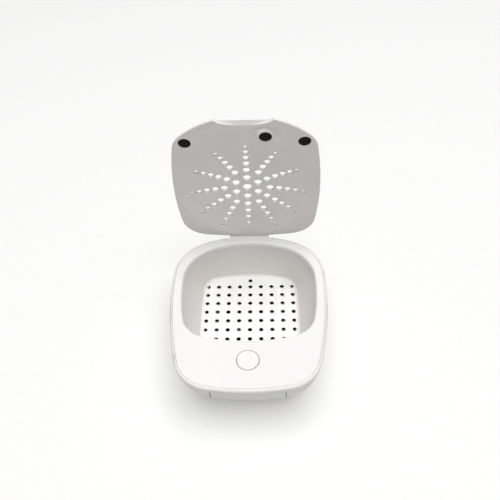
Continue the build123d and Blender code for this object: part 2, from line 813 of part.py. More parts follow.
with BuildPart() as fan_housing:
    with BuildSketch(level(cover_top)):
        with Locations((0, hole_middle_y)):
            RectangleRounded(fan_size, fan_size, fan_round)
            Circle(fan_bore_r, mode=Mode.SUBTRACT)
            with GridLocations(fan_hole_pitch, fan_hole_pitch, 2, 2):
                Circle(fan_hole_r, mode=Mode.SUBTRACT)
    extrude(amount=fan_height)
    with BuildSketch(level(cover_top)):
        with Locations((0, hole_middle_y)):
            Circle(hub_r - hub_wall / 2)
            with PolarLocations(fan_bore_r / 2, 3, start_angle=90):
                Rectangle(fan_bore_r + fan_round, spoke_width)
    extrude(amount=base_disc_thick)
    with BuildSketch(level(cover_top)):
        with Locations((0, hole_middle_y)):
            Circle(bearing_r)
    extrude(amount=base_disc_thick + bearing_height)
    with BuildSketch(level(cover_top + 2 * shaft_gap)):
        with Locations((0, hole_middle_y)):
            Circle(shaft_r + shaft_clearance)
    extrude(amount=fan_height, mode=Mode.SUBTRACT)
save(fan_housing, "fan_housing")

with BuildPart() as fan_stator:
    with BuildSketch(level(cover_top + base_disc_thick)):
        with Locations((0, hole_middle_y)):
            Circle(stator_r)
            Circle(bearing_r + stator_gap, mode=Mode.SUBTRACT)
    extrude(amount=stator_height)
save(fan_stator, "fan_stator")

with BuildPart() as fan_rotor:
    with BuildSketch(level(hub_top)):
        with Locations((0, hole_middle_y)):
            Circle(hub_r)
    extrude(amount=-hub_height)
    for blade in range(fan_blades):
        root = Plane((0, plan_y + hole_middle_y, blade_z), x_dir=(0, 0, 1), z_dir=blade_direction(blade))
        with BuildSketch(root.offset(hub_r - hub_wall / 2)):
            Rectangle(blade_chord, blade_thick, rotation=blade_tilt)
        extrude(amount=fan_bore_r - blade_gap - hub_r + hub_wall / 2)
    with BuildSketch(level(hub_top - hub_wall)):
        with Locations((0, hole_middle_y)):
            Circle(hub_r - hub_wall)
    extrude(amount=hub_wall - hub_height, mode=Mode.SUBTRACT)
    with BuildSketch(level(hub_top - hub_wall)):
        with Locations((0, hole_middle_y)):
            Circle(shaft_r)
    extrude(amount=hub_wall / 2, mode=Mode.SUBTRACT)
save(fan_rotor, "fan_rotor")

with BuildPart() as fan_shaft:
    with BuildSketch(level(cover_top + 3 * shaft_gap)):
        with Locations((0, hole_middle_y)):
            Circle(shaft_r)
    extrude(amount=hub_top - hub_wall / 2 - cover_top - 3 * shaft_gap)
save(fan_shaft, "fan_shaft")

with BuildPart() as heat_spreader:
    extrude(outline_face(bowl_foot.inset(spreader_inset), level(spreader_bottom)), amount=spreader_thick)
    with BuildSketch(level(spreader_bottom)):
        with Locations((0, hole_middle_y)):
            with GridLocations(1, hole_pitch, 1, hole_rows):
                SlotOverall((hole_columns - 1) * hole_pitch + spreader_slot_over, spreader_slot_width)
        with Locations((0, rear_hole_y)):
            Circle(spreader_slot_width / 2)
    extrude(amount=spreader_thick, mode=Mode.SUBTRACT)
save(heat_spreader, "heat_spreader")

with BuildPart() as heating_elements:
    with BuildSketch(level(spreader_bottom)):
        with Locations(*mirrored([(heater_x, hole_middle_y + heater_shift)])):
            Rectangle(*heater_size[:2])
    extrude(amount=-heater_size[2])
save(heating_elements, "heating_elements")

with BuildPart() as thermal_fuse:
    with BuildSketch(upright(-fuse_length / 2)):
        with Locations((hole_middle_y - fan_size / 2 - fuse_gap - fuse_r, spreader_bottom - fuse_r)):
            Circle(fuse_r)
    extrude(amount=fuse_length)
save(thermal_fuse, "thermal_fuse")

# ---------------------------------------------------------------- power inlet

with BuildPart() as inlet_shell:
    with BuildSketch(rear_plane(inlet_front)):
        with Locations((0, inlet_z)):
            SlotOverall(inlet_width, inlet_height)
            SlotOverall(inlet_width - 2 * inlet_wall, inlet_height - 2 * inlet_wall, mode=Mode.SUBTRACT)
    extrude(amount=inlet_length)
save(inlet_shell, "inlet_shell")

with BuildPart() as inlet_contacts:
    with BuildSketch(rear_plane(inlet_front)):
        with Locations((0, inlet_z)):
            SlotOverall(inlet_width - 2 * inlet_wall, inlet_height - 2 * inlet_wall)
    extrude(amount=contact_depth)
    with BuildSketch(rear_plane(inlet_front + contact_depth)):
        with Locations((0, inlet_z)):
            Rectangle(*contact_tongue[:2])
    extrude(amount=contact_tongue[2])
save(inlet_contacts, "inlet_contacts")

with BuildPart() as inlet_board:
    with BuildSketch(level(inlet_board_bottom)):
        with Locations((0, inlet_board_y)):
            Rectangle(*inlet_board_size[:2])
    extrude(amount=inlet_board_size[2])
save(inlet_board, "inlet_board")
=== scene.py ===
"""Looks of a small hearing aid dryer: finishes, fine fittings, studio and camera round the CAD part.

Metres, +Z up, front at -Y. The object stands on Z = 0 with its lid open, as the CAD frame has it.
"""

from __future__ import annotations

import json
import logging
import math
from dataclasses import dataclass, field
from enum import Enum

import bmesh
import bpy
from mathutils import Matrix, Vector
from mathutils.bvhtree import BVHTree

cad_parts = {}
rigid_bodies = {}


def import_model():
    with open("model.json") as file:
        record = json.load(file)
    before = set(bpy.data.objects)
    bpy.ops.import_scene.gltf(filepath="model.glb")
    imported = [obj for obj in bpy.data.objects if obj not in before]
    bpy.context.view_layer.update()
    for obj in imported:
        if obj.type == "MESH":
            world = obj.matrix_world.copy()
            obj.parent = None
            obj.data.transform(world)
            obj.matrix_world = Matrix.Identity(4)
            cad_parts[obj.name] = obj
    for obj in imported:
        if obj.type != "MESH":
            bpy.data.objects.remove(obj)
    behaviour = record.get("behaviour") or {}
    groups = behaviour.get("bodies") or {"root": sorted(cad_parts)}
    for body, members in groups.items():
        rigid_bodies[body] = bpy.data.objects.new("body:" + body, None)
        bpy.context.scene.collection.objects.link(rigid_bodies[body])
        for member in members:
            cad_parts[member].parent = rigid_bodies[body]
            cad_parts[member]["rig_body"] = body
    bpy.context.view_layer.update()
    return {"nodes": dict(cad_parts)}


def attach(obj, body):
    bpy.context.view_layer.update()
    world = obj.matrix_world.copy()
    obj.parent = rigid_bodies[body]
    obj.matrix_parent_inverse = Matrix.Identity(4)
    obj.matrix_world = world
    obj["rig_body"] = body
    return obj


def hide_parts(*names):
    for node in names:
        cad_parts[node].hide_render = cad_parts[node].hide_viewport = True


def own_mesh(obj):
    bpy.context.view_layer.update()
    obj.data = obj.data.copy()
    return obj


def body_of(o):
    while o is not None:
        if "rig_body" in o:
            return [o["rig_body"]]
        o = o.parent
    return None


log = logging.getLogger("dryer")

MM = 0.001


# ---------------- colour and node helpers


@dataclass(frozen=True)
class Tint:
    """A colour as the eye sees it, with 0 to 255 in each channel."""

    red: float
    green: float
    blue: float

    def linear(self, gain: float = 1.0) -> tuple[float, float, float, float]:
        """Return the colour as the renderer wants it.

        Args:
            gain: Factor on the linear colour, to make it lighter or darker.

        Returns:
            Linear red, green and blue, and an alpha of 1.
        """
        return (*(min(1.0, gain * self._channel(v / 255)) for v in (self.red, self.green, self.blue)), 1.0)

    @staticmethod
    def _channel(v: float) -> float:
        """Return one display value in linear light."""
        return v / 12.92 if v <= 0.04045 else ((v + 0.055) / 1.055) ** 2.4


class Graph:
    """A material's node tree, with short calls for the nodes that the finishes share."""

    def __init__(self, name: str) -> None:
        """Make an empty material of this name with its output and surface shader.

        Args:
            name: Name of the new material.
        """
        self.material = bpy.data.materials.new(f"{name}_finish")
        self.material.use_nodes = True
        self.tree = self.material.node_tree
        self.tree.nodes.clear()
        self.out = self.tree.nodes.new("ShaderNodeOutputMaterial")
        self.surface = self.tree.nodes.new("ShaderNodeBsdfPrincipled")
        self.join(self.surface, "BSDF", self.out, "Surface")
        self.place = self.tree.nodes.new("ShaderNodeTexCoord")

    def join(self, a: bpy.types.Node, output: str, b: bpy.types.Node, socket: str) -> None:
        """Link an output of one node to an input of another."""
        self.tree.links.new(a.outputs[output], b.inputs[socket])

    def noise(self, scale: float, detail: float = 3.0, rough: float = 0.5) -> bpy.types.Node:
        """Return a noise texture on the object's own coordinates.

        Args:
            scale: Noise cells per metre.
            detail: Number of finer layers.
            rough: Strength of the finer layers.

        Returns:
            The noise node.
        """
        node = self.tree.nodes.new("ShaderNodeTexNoise")
        node.inputs["Scale"].default_value = scale
        node.inputs["Detail"].default_value = detail
        node.inputs["Roughness"].default_value = rough
        self.join(self.place, "Object", node, "Vector")
        return node

    def stretched_noise(self, scale: float, along: tuple[float, float, float]) -> bpy.types.Node:
        """Return a noise texture that is drawn out along an axis.

        Args:
            scale: Noise cells per metre.
            along: Factor on the coordinates in each axis.

        Returns:
            The noise node.
        """
        mapping = self.tree.nodes.new("ShaderNodeMapping")
        mapping.inputs["Scale"].default_value = along
        self.join(self.place, "Object", mapping, "Vector")
        node = self.noise(scale)
        self.join(mapping, "Vector", node, "Vector")
        return node

    def paint(self, source: bpy.types.Node, low: tuple, high: tuple,
              edges: tuple[float, float] = (0.35, 0.65)) -> bpy.types.Node:
        """Colour the surface by a texture.

        Args:
            source: Texture that drives the colour.
            low: Colour below the first edge.
            high: Colour above the second edge.
            edges: Texture values between which the one colour turns into the other.

        Returns:
            The ramp node that gives the colour.
        """
        ramp = self.tree.nodes.new("ShaderNodeValToRGB")
        first, second = ramp.color_ramp.elements
        first.position, second.position = edges
        first.color, second.color = low, high
        self.join(source, "Fac", ramp, "Fac")
        self.join(ramp, "Color", self.surface, "Base Color")
        return ramp

    def gloss(self, source: bpy.types.Node, low: float, high: float) -> None:
        """Vary the surface's roughness by a texture.

        Args:
            source: Texture that drives the roughness.
            low: Roughness at texture 0.3.
            high: Roughness at texture 0.7.
        """
        node = self.tree.nodes.new("ShaderNodeMapRange")
        node.inputs["From Min"].default_value = 0.3
        node.inputs["From Max"].default_value = 0.7
        node.inputs["To Min"].default_value = low
        node.inputs["To Max"].default_value = high
        self.join(source, "Fac", node, "Value")
        self.join(node, "Result", self.surface, "Roughness")

    def relief(self, source: bpy.types.Node, depth: float, strength: float) -> None:
        """Give the surface a fine relief from a texture.

        Args:
            source: Texture that gives the height.
            depth: Height of the relief in metres.
            strength: Share of the relief that shows.
        """
        bump = self.tree.nodes.new("ShaderNodeBump")
        bump.inputs["Distance"].default_value = depth
        bump.inputs["Strength"].default_value = strength
        self.join(source, "Fac", bump, "Height")
        self.join(bump, "Normal", self.surface, "Normal")

    def set(self, **values: float | tuple) -> None:
        """Set the surface shader's own sockets; an underscore in a name stands for a space."""
        for name, value in values.items():
            self.surface.inputs[name.replace("_", " ")].default_value = value


# ---------------- finishes


@dataclass(frozen=True)
class MouldedPlastic:
    """Moulded plastic with a fine spark texture, faint flow marks and slightly uneven gloss."""

    name: str
    tint: Tint
    roughness: float = 0.42
    mottle: float = 0.015
    grain_scale: float = 2600.0
    grain_depth: float = 0.00003
    grain_strength: float = 0.25
    specular: float = 0.45

    def build(self) -> bpy.types.Material:
        """Return the material of this finish."""
        g = Graph(self.name)
        flow = g.stretched_noise(38.0, (1.0, 0.6, 1.4))
        g.paint(flow, self.tint.linear(1 - self.mottle), self.tint.linear(1 + self.mottle))
        patches = g.noise(220.0, 2.0)
        g.gloss(patches, self.roughness - 0.04, self.roughness + 0.05)
        grain = g.noise(self.grain_scale, 2.0, 0.6)
        g.relief(grain, self.grain_depth, self.grain_strength)
        g.set(IOR=1.5, Specular_IOR_Level=self.specular)
        return g.material


@dataclass(frozen=True)
class PlatedMetal:
    """Plated or drawn metal with fine lines along one axis and slight tarnish."""

    name: str
    tint: Tint
    roughness: float = 0.28
    line_scale: float = 900.0
    line_axes: tuple[float, float, float] = (1.0, 8.0, 8.0)
    tarnish: float = 0.12
    metallic: float = 1.0

    def build(self) -> bpy.types.Material:
        """Return the material of this finish."""
        g = Graph(self.name)
        spots = g.noise(420.0, 4.0, 0.6)
        g.paint(spots, self.tint.linear(1 - self.tarnish), self.tint.linear())
        lines = g.stretched_noise(self.line_scale, self.line_axes)
        g.gloss(lines, self.roughness - 0.07, self.roughness + 0.12)
        g.relief(lines, 0.00001, 0.2)
        g.set(Metallic=self.metallic)
        return g.material


@dataclass(frozen=True)
class SoftRubber:
    """Dull moulded rubber with pits and dust."""

    name: str
    tint: Tint
    dust: Tint

    def build(self) -> bpy.types.Material:
        """Return the material of this finish."""
        g = Graph(self.name)
        dusty = g.noise(600.0, 5.0, 0.65)
        g.paint(dusty, self.tint.linear(), self.dust.linear(), (0.45, 0.8))
        pits = g.noise(3200.0, 2.0)
        g.relief(pits, 0.00005, 0.4)
        g.gloss(dusty, 0.7, 0.92)
        g.set(Specular_IOR_Level=0.35)
        return g.material


@dataclass(frozen=True)
class CircuitBoard:
    """Green solder mask over copper tracks, with the glass weave just showing."""

    name: str
    mask: Tint
    track: Tint
    track_scale: float = 420.0

    def build(self) -> bpy.types.Material:
        """Return the material of this finish."""
        g = Graph(self.name)
        tracks = g.tree.nodes.new("ShaderNodeTexBrick")
        tracks.inputs["Color1"].default_value = self.mask.linear()
        tracks.inputs["Color2"].default_value = self.mask.linear(0.9)
        tracks.inputs["Mortar"].default_value = self.track.linear()
        tracks.inputs["Scale"].default_value = self.track_scale
        tracks.inputs["Mortar Size"].default_value = 0.03
        g.join(g.place, "Object", tracks, "Vector")
        g.join(tracks, "Color", g.surface, "Base Color")
        weave = g.noise(1500.0, 2.0)
        g.relief(weave, 0.00002, 0.3)
        g.gloss(weave, 0.25, 0.38)
        return g.material


@dataclass(frozen=True)
class ClearResin:
    """Milky clear resin of a small lamp, with a warm heart."""

    name: str
    tint: Tint
    heart: Tint

    def build(self) -> bpy.types.Material:
        """Return the material of this finish."""
        g = Graph(self.name)
        cloud = g.noise(1400.0, 2.0)
        g.paint(cloud, self.heart.linear(), self.tint.linear())
        g.gloss(cloud, 0.12, 0.2)
        g.set(Transmission_Weight=0.35, IOR=1.45)
        return g.material


def seen_directly(tree: bpy.types.NodeTree) -> bpy.types.NodeSocket:
    """Return 1 where the camera sees a surface, mirrored or through clear material too, else 0.

    Args:
        tree: Node tree of a material or of the world.

    Returns:
        The output socket that carries the value.
    """
    path = tree.nodes.new("ShaderNodeLightPath")
    seen = path.outputs["Is Camera Ray"]
    for kind in ("Is Glossy Ray", "Is Transmission Ray"):
        either = tree.nodes.new("ShaderNodeMath")
        either.operation = "MAXIMUM"
        tree.links.new(seen, either.inputs[0])
        tree.links.new(path.outputs[kind], either.inputs[1])
        seen = either.outputs["Value"]
    return seen


@dataclass(frozen=True)
class StudioFloor:
    """Pale seamless paper, seen as white in the background of the view."""

    name: str
    tint: Tint
    glow: float = 0.47

    def build(self) -> bpy.types.Material:
        """Return the material of this finish."""
        g = Graph(self.name)
        fibre = g.noise(260.0, 5.0, 0.6)
        colour = g.paint(fibre, self.tint.linear(0.985), self.tint.linear())
        g.relief(fibre, 0.0001, 0.1)
        g.set(Roughness=0.9, Specular_IOR_Level=0.1)
        g.join(colour, "Color", g.surface, "Emission Color")
        glow = g.tree.nodes.new("ShaderNodeMath")
        glow.operation = "MULTIPLY"
        glow.inputs[1].default_value = self.glow
        g.tree.links.new(seen_directly(g.tree), glow.inputs[0])
        g.join(glow, "Value", g.surface, "Emission Strength")
        return g.material


MADE: dict[str, bpy.types.Material] = {}    # materials made so far, by the name of their finish


class Finish(Enum):
    """The finish of each material slot, and of the bowl's painted shade and the painted shadow in the
    panel's joint gaps.
    """

    SHELL_WHITE = MouldedPlastic("shell_white", Tint(243, 240, 238), 0.36, specular=0.2)
    DECK_WHITE = MouldedPlastic("deck_white", Tint(244, 243, 241), 0.42, specular=0.35)
    # Painted shade: the bowl is the deck's white plastic, tinted darker for the shade inside the chamber.
    BOWL_PAINTED_SHADE = MouldedPlastic("bowl_painted_shade", Tint(229, 226, 224), 0.45)
    COVER_WHITE = MouldedPlastic("cover_white", Tint(236, 234, 232), 0.55, grain_strength=0.4)
    LID_WHITE = MouldedPlastic("lid_white", Tint(240, 237, 235), 0.48, specular=0.35)
    BUTTON_WHITE = MouldedPlastic("button_white", Tint(246, 245, 243), 0.34, grain_strength=0.15)
    BLACK_PLASTIC = MouldedPlastic("black_plastic", Tint(38, 38, 40), 0.5, mottle=0.15)
    MAGNET = MouldedPlastic("magnet", Tint(33, 29, 27), 0.55, mottle=0.25, specular=0.05)
    STEEL = PlatedMetal("steel", Tint(176, 178, 182))
    COPPER = PlatedMetal("copper", Tint(186, 118, 82), 0.32, tarnish=0.25)
    SPREADER = MouldedPlastic("spreader", Tint(17, 17, 18), 0.6, mottle=0.2, specular=0.15)
    HEATER = MouldedPlastic("heater", Tint(196, 190, 178), 0.6, mottle=0.06)
    # Painted shadow: a dark strip over each of the front panel's joints, where the narrow gap falls into
    # shade.
    PAINTED_SEAM_SHADOW = MouldedPlastic("painted_seam_shadow", Tint(112, 108, 104), 0.8, mottle=0.1, specular=0.1)
    RUBBER = SoftRubber("rubber", Tint(62, 62, 64), Tint(98, 96, 94))
    BOARD = CircuitBoard("board", Tint(22, 92, 58), Tint(44, 132, 84))
    LED = ClearResin("led", Tint(244, 244, 240), Tint(240, 214, 120))

    def build(self) -> bpy.types.Material:
        """Return this finish's material, made once."""
        if self.name not in MADE:
            MADE[self.name] = self.value.build()
        return MADE[self.name]


# ---------------- pieces


def new_object(name: str, data: bpy.types.ID) -> bpy.types.Object:
    """Put new data into the scene as an object, and return it."""
    thing = bpy.data.objects.new(name, data)
    bpy.context.scene.collection.objects.link(thing)
    return thing


def add_mesh(name: str, build: bmesh.types.BMesh, body: str, finish: Finish) -> bpy.types.Object:
    """Turn a finished bmesh into a piece that rides on a CAD body.

    Args:
        name: Name of the new piece.
        build: The mesh, in metres, in the frame's own place. It is freed here.
        body: CAD body that the piece moves with.
        finish: Finish of the piece.

    Returns:
        The new object.
    """
    mesh = bpy.data.meshes.new(name)
    build.to_mesh(mesh)
    build.free()
    piece = new_object(name, mesh)
    mesh.materials.append(finish.build())
    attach(piece, body)
    return piece


def smooth_by_angle(mesh: bpy.types.Mesh, limit: float = 0.5) -> None:
    """Shade a mesh smoothly except over edges sharper than a limit.

    Args:
        mesh: Mesh to shade.
        limit: Angle in radians above which an edge stays sharp.
    """
    for polygon in mesh.polygons:
        polygon.use_smooth = True
    mesh.set_sharp_from_angle(angle=limit)


def arc_through(start: tuple, middle: tuple, end: tuple, steps: int) -> list[tuple[float, float]]:
    """Return points along the arc through three points, without its last one.

    Args:
        start: First point.
        middle: A point on the way.
        end: Last point.
        steps: Number of points.

    Returns:
        The points, from the start on.
    """
    (ax, ay), (bx, by), (cx, cy) = start, middle, end
    d = 2 * (ax * (by - cy) + bx * (cy - ay) + cx * (ay - by))
    a2, b2, c2 = ax * ax + ay * ay, bx * bx + by * by, cx * cx + cy * cy
    ux = (a2 * (by - cy) + b2 * (cy - ay) + c2 * (ay - by)) / d
    uy = (a2 * (cx - bx) + b2 * (ax - cx) + c2 * (bx - ax)) / d
    r = math.hypot(ax - ux, ay - uy)
    first = math.atan2(ay - uy, ax - ux)
    turn = (math.atan2(cy - uy, cx - ux) - first + math.pi) % (2 * math.pi) - math.pi
    return [(ux + r * math.cos(first + turn * i / steps), uy + r * math.sin(first + turn * i / steps))
            for i in range(steps)]


@dataclass(frozen=True)
class LidPlan:
    """The lid's rounded-square plan of eight tangent arcs, in millimetres on the closed base."""

    half_width: float = 33.5
    front: float = -41.9
    rear: float = 40.5
    widest: float = 8.1
    side_r: float = 186.0
    front_r: float = 39.0
    rear_r: float = 141.0
    front_corner_r: float = 12.2
    rear_corner_r: float = 13.2

    @property
    def middle(self) -> float:
        """Return the place of the middle between front and rear."""
        return (self.front + self.rear) / 2

    @property
    def half(self) -> float:
        """Return half the length from front to rear."""
        return (self.rear - self.front) / 2

    def ring(self, inset: float) -> list[tuple[float, float]]:
        """Return points round the plan, drawn in by an inset.

        Args:
            inset: Distance inside the plan's edge, less than the corners' radius.

        Returns:
            The same number of points for every inset, counter-clockwise.
        """
        width = self.half_width - inset
        front, rear = self.front + inset, self.rear - inset
        side_r = self.side_r - inset
        ends = []
        for end, end_r, corner_r, turn in ((front + self.front_r - inset, self.front_r - inset,
                                            self.front_corner_r - inset, 1),
                                           (rear - self.rear_r + inset, self.rear_r - inset,
                                            self.rear_corner_r - inset, -1)):
            side_x, dy = width - side_r, end - self.widest
            apart = math.hypot(side_x, dy)
            to_side, to_end = side_r - corner_r, end_r - corner_r
            along = (to_side ** 2 - to_end ** 2 + apart ** 2) / (2 * apart)
            across = math.sqrt(to_side ** 2 - along ** 2)
            cx = side_x + (turn * across * dy - along * side_x) / apart
            cy = self.widest + (along * dy + turn * across * side_x) / apart
            side_point = (side_x + (cx - side_x) * side_r / to_side,
                          self.widest + (cy - self.widest) * side_r / to_side)
            end_point = (cx * end_r / to_end, end + (cy - end) * end_r / to_end)
            mx, my = (side_point[0] + end_point[0]) / 2 - cx, (side_point[1] + end_point[1]) / 2 - cy
            reach = corner_r / math.hypot(mx, my)
            ends.append((end_point, (cx + mx * reach, cy + my * reach), side_point))
        (f_end, f_mid, f_side), (r_end, r_mid, r_side) = ends
        right = arc_through(f_end, f_mid, f_side, 12)
        right += arc_through(f_side, (width, self.widest), r_side, 16)
        right += arc_through(r_side, r_mid, r_end, 12)
        rear_arc = arc_through(r_end, (0.0, rear), (-r_end[0], r_end[1]), 20)
        left = [(-x, y) for x, y in reversed(right[1:])]
        front_arc = arc_through((-f_end[0], f_end[1]), (0.0, front), f_end, 20)
        return right + rear_arc + [(-r_end[0], r_end[1])] + left + front_arc


def hoop(mesh: bmesh.types.BMesh, points: list[tuple[float, float, float]]) -> list[bmesh.types.BMVert]:
    """Add the points of a closed ring to a mesh and return its vertices."""
    return [mesh.verts.new(point) for point in points]


def bridge(mesh: bmesh.types.BMesh, lower: list, upper: list) -> None:
    """Join two rings of as many vertices by a band of faces."""
    for i in range(len(lower)):
        j = (i + 1) % len(lower)
        mesh.faces.new((lower[i], lower[j], upper[j], upper[i]))


def close_rings(mesh: bmesh.types.BMesh, rings: list[list[bmesh.types.BMVert]]) -> None:
    """Join rings one to the next by bands of faces, and close the first and the last."""
    for lower, upper in zip(rings, rings[1:]):
        bridge(mesh, lower, upper)
    mesh.faces.new(list(reversed(rings[0])))
    mesh.faces.new(rings[-1])


def face_outward(mesh: bmesh.types.BMesh) -> None:
    """Turn all faces of a closed mesh outward."""
    bmesh.ops.recalc_face_normals(mesh, faces=mesh.faces)


def to_metres(mesh: bmesh.types.BMesh) -> None:
    """Scale a mesh from millimetres to metres."""
    bmesh.ops.scale(mesh, vec=(MM, MM, MM), verts=mesh.verts)


def lathe(mesh: bmesh.types.BMesh, middle: tuple[float, float], profile: list[tuple[float, float]],
          sides: int = 40) -> None:
    """Add a closed turned solid, standing upright.

    Args:
        mesh: Mesh that takes it.
        middle: Place of its axis.
        profile: Radius and height of each ring, from the lowest to the highest.
        sides: Number of faces round it.
    """
    x, y = middle
    turns = [2 * math.pi * i / sides for i in range(sides)]
    close_rings(mesh, [hoop(mesh, [(x + r * math.cos(turn), y + r * math.sin(turn), z) for turn in turns])
                       for r, z in profile])


def cut(target: bmesh.types.BMesh, tool: bmesh.types.BMesh,
        operation: str = "DIFFERENCE") -> bmesh.types.BMesh:
    """Return one mesh cut by, or joined with, another; both are freed.

    Args:
        target: Mesh that is worked on.
        tool: Closed mesh that works on it.
        operation: Name of the boolean operation.

    Returns:
        The new mesh.
    """
    pieces = []
    for name, mesh in (("target", target), ("tool", tool)):
        data = bpy.data.meshes.new(name)
        mesh.to_mesh(data)
        mesh.free()
        pieces.append(new_object(name, data))
    modifier = pieces[0].modifiers.new("cut", "BOOLEAN")
    modifier.operation = operation
    modifier.solver = "EXACT"
    modifier.object = pieces[1]
    done = pieces[0].evaluated_get(bpy.context.evaluated_depsgraph_get())
    result = bmesh.new()
    result.from_mesh(done.to_mesh())
    done.to_mesh_clear()
    for thing in pieces:
        data = thing.data
        bpy.data.objects.remove(thing)
        bpy.data.meshes.remove(data)
    return result


@dataclass(frozen=True)
class PanScrew:
    """A pan-head screw with a cross recess, head down, in millimetres."""

    head_r: float = 1.9
    head_height: float = 1.0
    shank_r: float = 0.94
    length: float = 5.6
    tip_r: float = 0.3
    tip_height: float = 0.6
    cross_reach: float = 1.0
    cross_half: float = 0.2
    cross_depth: float = 0.6
    cross_turn: float = 0.4
    sides: int = 32

    def profile(self, low: float) -> list[tuple[float, float]]:
        """Return the radius and height of each ring, from the head's face up to the tip."""
        return [(self.head_r - 0.55, low), (self.head_r - 0.2, low + 0.12), (self.head_r, low + 0.45),
                (self.head_r, low + self.head_height), (self.shank_r, low + self.head_height),
                (self.shank_r, low + self.length - self.tip_height), (self.tip_r, low + self.length)]

    def recess(self, place: tuple[float, float]) -> list[Vector]:
        """Return the corners of the cross at a place, counter-clockwise."""
        quarter_corners = ((self.cross_reach, -self.cross_half), (self.cross_reach, self.cross_half),
                           (self.cross_half, self.cross_half))
        return [Vector(place) + Matrix.Rotation(self.cross_turn + quarter * math.pi / 2, 2) @ Vector(corner)
                for quarter in range(4) for corner in quarter_corners]


def head_middles(node: bpy.types.Object, head_r: float) -> tuple[float, list[Vector]]:
    """Find the heads of a CAD node's plain screws.

    Args:
        node: CAD node of the screws, which look down.
        head_r: Radius of their heads, in millimetres.

    Returns:
        The height of the heads' faces and the middle of each, in millimetres.
    """
    shape = bmesh.new()
    shape.from_mesh(node.data)
    low = min(v.co.z for v in shape.verts) / MM
    heads = [v.co / MM for v in shape.verts if v.co.z / MM < low + 0.01]
    shape.free()
    apart = 2.2 * head_r
    middles: list[Vector] = []
    for point in heads:
        if not any((m - point).length < apart for m in middles):
            group = [p for p in heads if (p - point).length < apart]
            middles.append(Vector([(min(p[i] for p in group) + max(p[i] for p in group)) / 2
                                   for i in range(3)]))
    return low, middles


def cross_screws(name: str, node: bpy.types.Object) -> None:
    """Make screws with a cross recess in the places of a CAD node's plain ones.

    Args:
        name: Name of the new piece.
        node: CAD node of the plain screws, which look down.
    """
    screw = PanScrew()
    low, middles = head_middles(node, screw.head_r)
    screws, recess = bmesh.new(), bmesh.new()
    for middle in middles:
        place = (middle.x, middle.y)
        lathe(screws, place, screw.profile(low), screw.sides)
        close_rings(recess, [hoop(recess, [(c.x, c.y, z) for c in screw.recess(place)])
                             for z in (low - 0.3, low + screw.cross_depth)])
    for shape in (screws, recess):
        bmesh.ops.remove_doubles(shape, verts=shape.verts, dist=1e-6)
        face_outward(shape)
    done = cut(screws, recess)
    to_metres(done)
    piece = add_mesh(name, done, body_of(node)[0], Finish.STEEL)
    smooth_by_angle(piece.data)
    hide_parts(node.name)
    log.info("%s: %d screws", name, len(middles))


@dataclass
class SubAssembly:
    """A group of CAD nodes and the finish of each."""

    nodes: dict[str, bpy.types.Object]
    finishes: dict[str, Finish] = field(default_factory=dict)

    def dress(self) -> None:
        """Give each CAD node of this group its finish."""
        for name, finish in self.finishes.items():
            mesh = self.nodes[name].data
            mesh.materials.clear()
            mesh.materials.append(finish.build())
            log.info("%s in %s", name, finish.value.name)


@dataclass
class Casing(SubAssembly):
    """The outer walls, the front panel between its two seams, and the vented bottom with its feet."""

    finishes: dict[str, Finish] = field(default_factory=lambda: {
        "outer_shell": Finish.SHELL_WHITE,
        "front_panel": Finish.SHELL_WHITE,
        "bottom_cover": Finish.COVER_WHITE,
        "rubber_feet": Finish.RUBBER,
    })
    seam_top: tuple[float, float] = (15.76, 30.55)
    seam_bottom: tuple[float, float] = (16.94, 1.2)
    seam_half: float = 0.15
    seam_lift: float = 0.02
    seam_steps: int = 40

    def dress(self) -> None:
        """Give the nodes their finishes, paint the shadow in the panel's two seams and make the cover's
        screws.
        """
        super().dress()
        self._paint_seam_shadows()
        cross_screws("cover_screw_set", self.nodes["cover_screws"])

    def _paint_seam_shadows(self) -> None:
        """Lay strips of painted shadow, standing for the dark gaps of the joints, down both sides of the
        front panel, just over the wall.
        """
        walls, lines = bmesh.new(), bmesh.new()
        for name in ("outer_shell", "front_panel"):
            walls.from_mesh(self.nodes[name].data)
        surface = BVHTree.FromBMesh(walls)
        walls.free()
        rearward = Vector((0.0, 1.0, 0.0))
        for side in (-1, 1):
            rows = []
            for step in range(self.seam_steps + 1):
                share = step / self.seam_steps
                x = side * (self.seam_top[0] + share * (self.seam_bottom[0] - self.seam_top[0]))
                z = self.seam_top[1] + share * (self.seam_bottom[1] - self.seam_top[1])
                row = []
                for across in (-self.seam_half, self.seam_half):
                    hit = surface.ray_cast(Vector(((x + across) * MM, -0.1, z * MM)), rearward)[0]
                    row.append(lines.verts.new((hit.x, hit.y - self.seam_lift * MM, hit.z)))
                rows.append(row)
            for upper, lower in zip(rows, rows[1:]):
                lines.faces.new((upper[0], lower[0], lower[1], upper[1]))
        # The strips are painted shadow of the joints' narrow gaps, not a dark joint colour.
        add_mesh("panel_seam_shadows", lines, body_of(self.nodes["front_panel"])[0], Finish.PAINTED_SEAM_SHADOW)


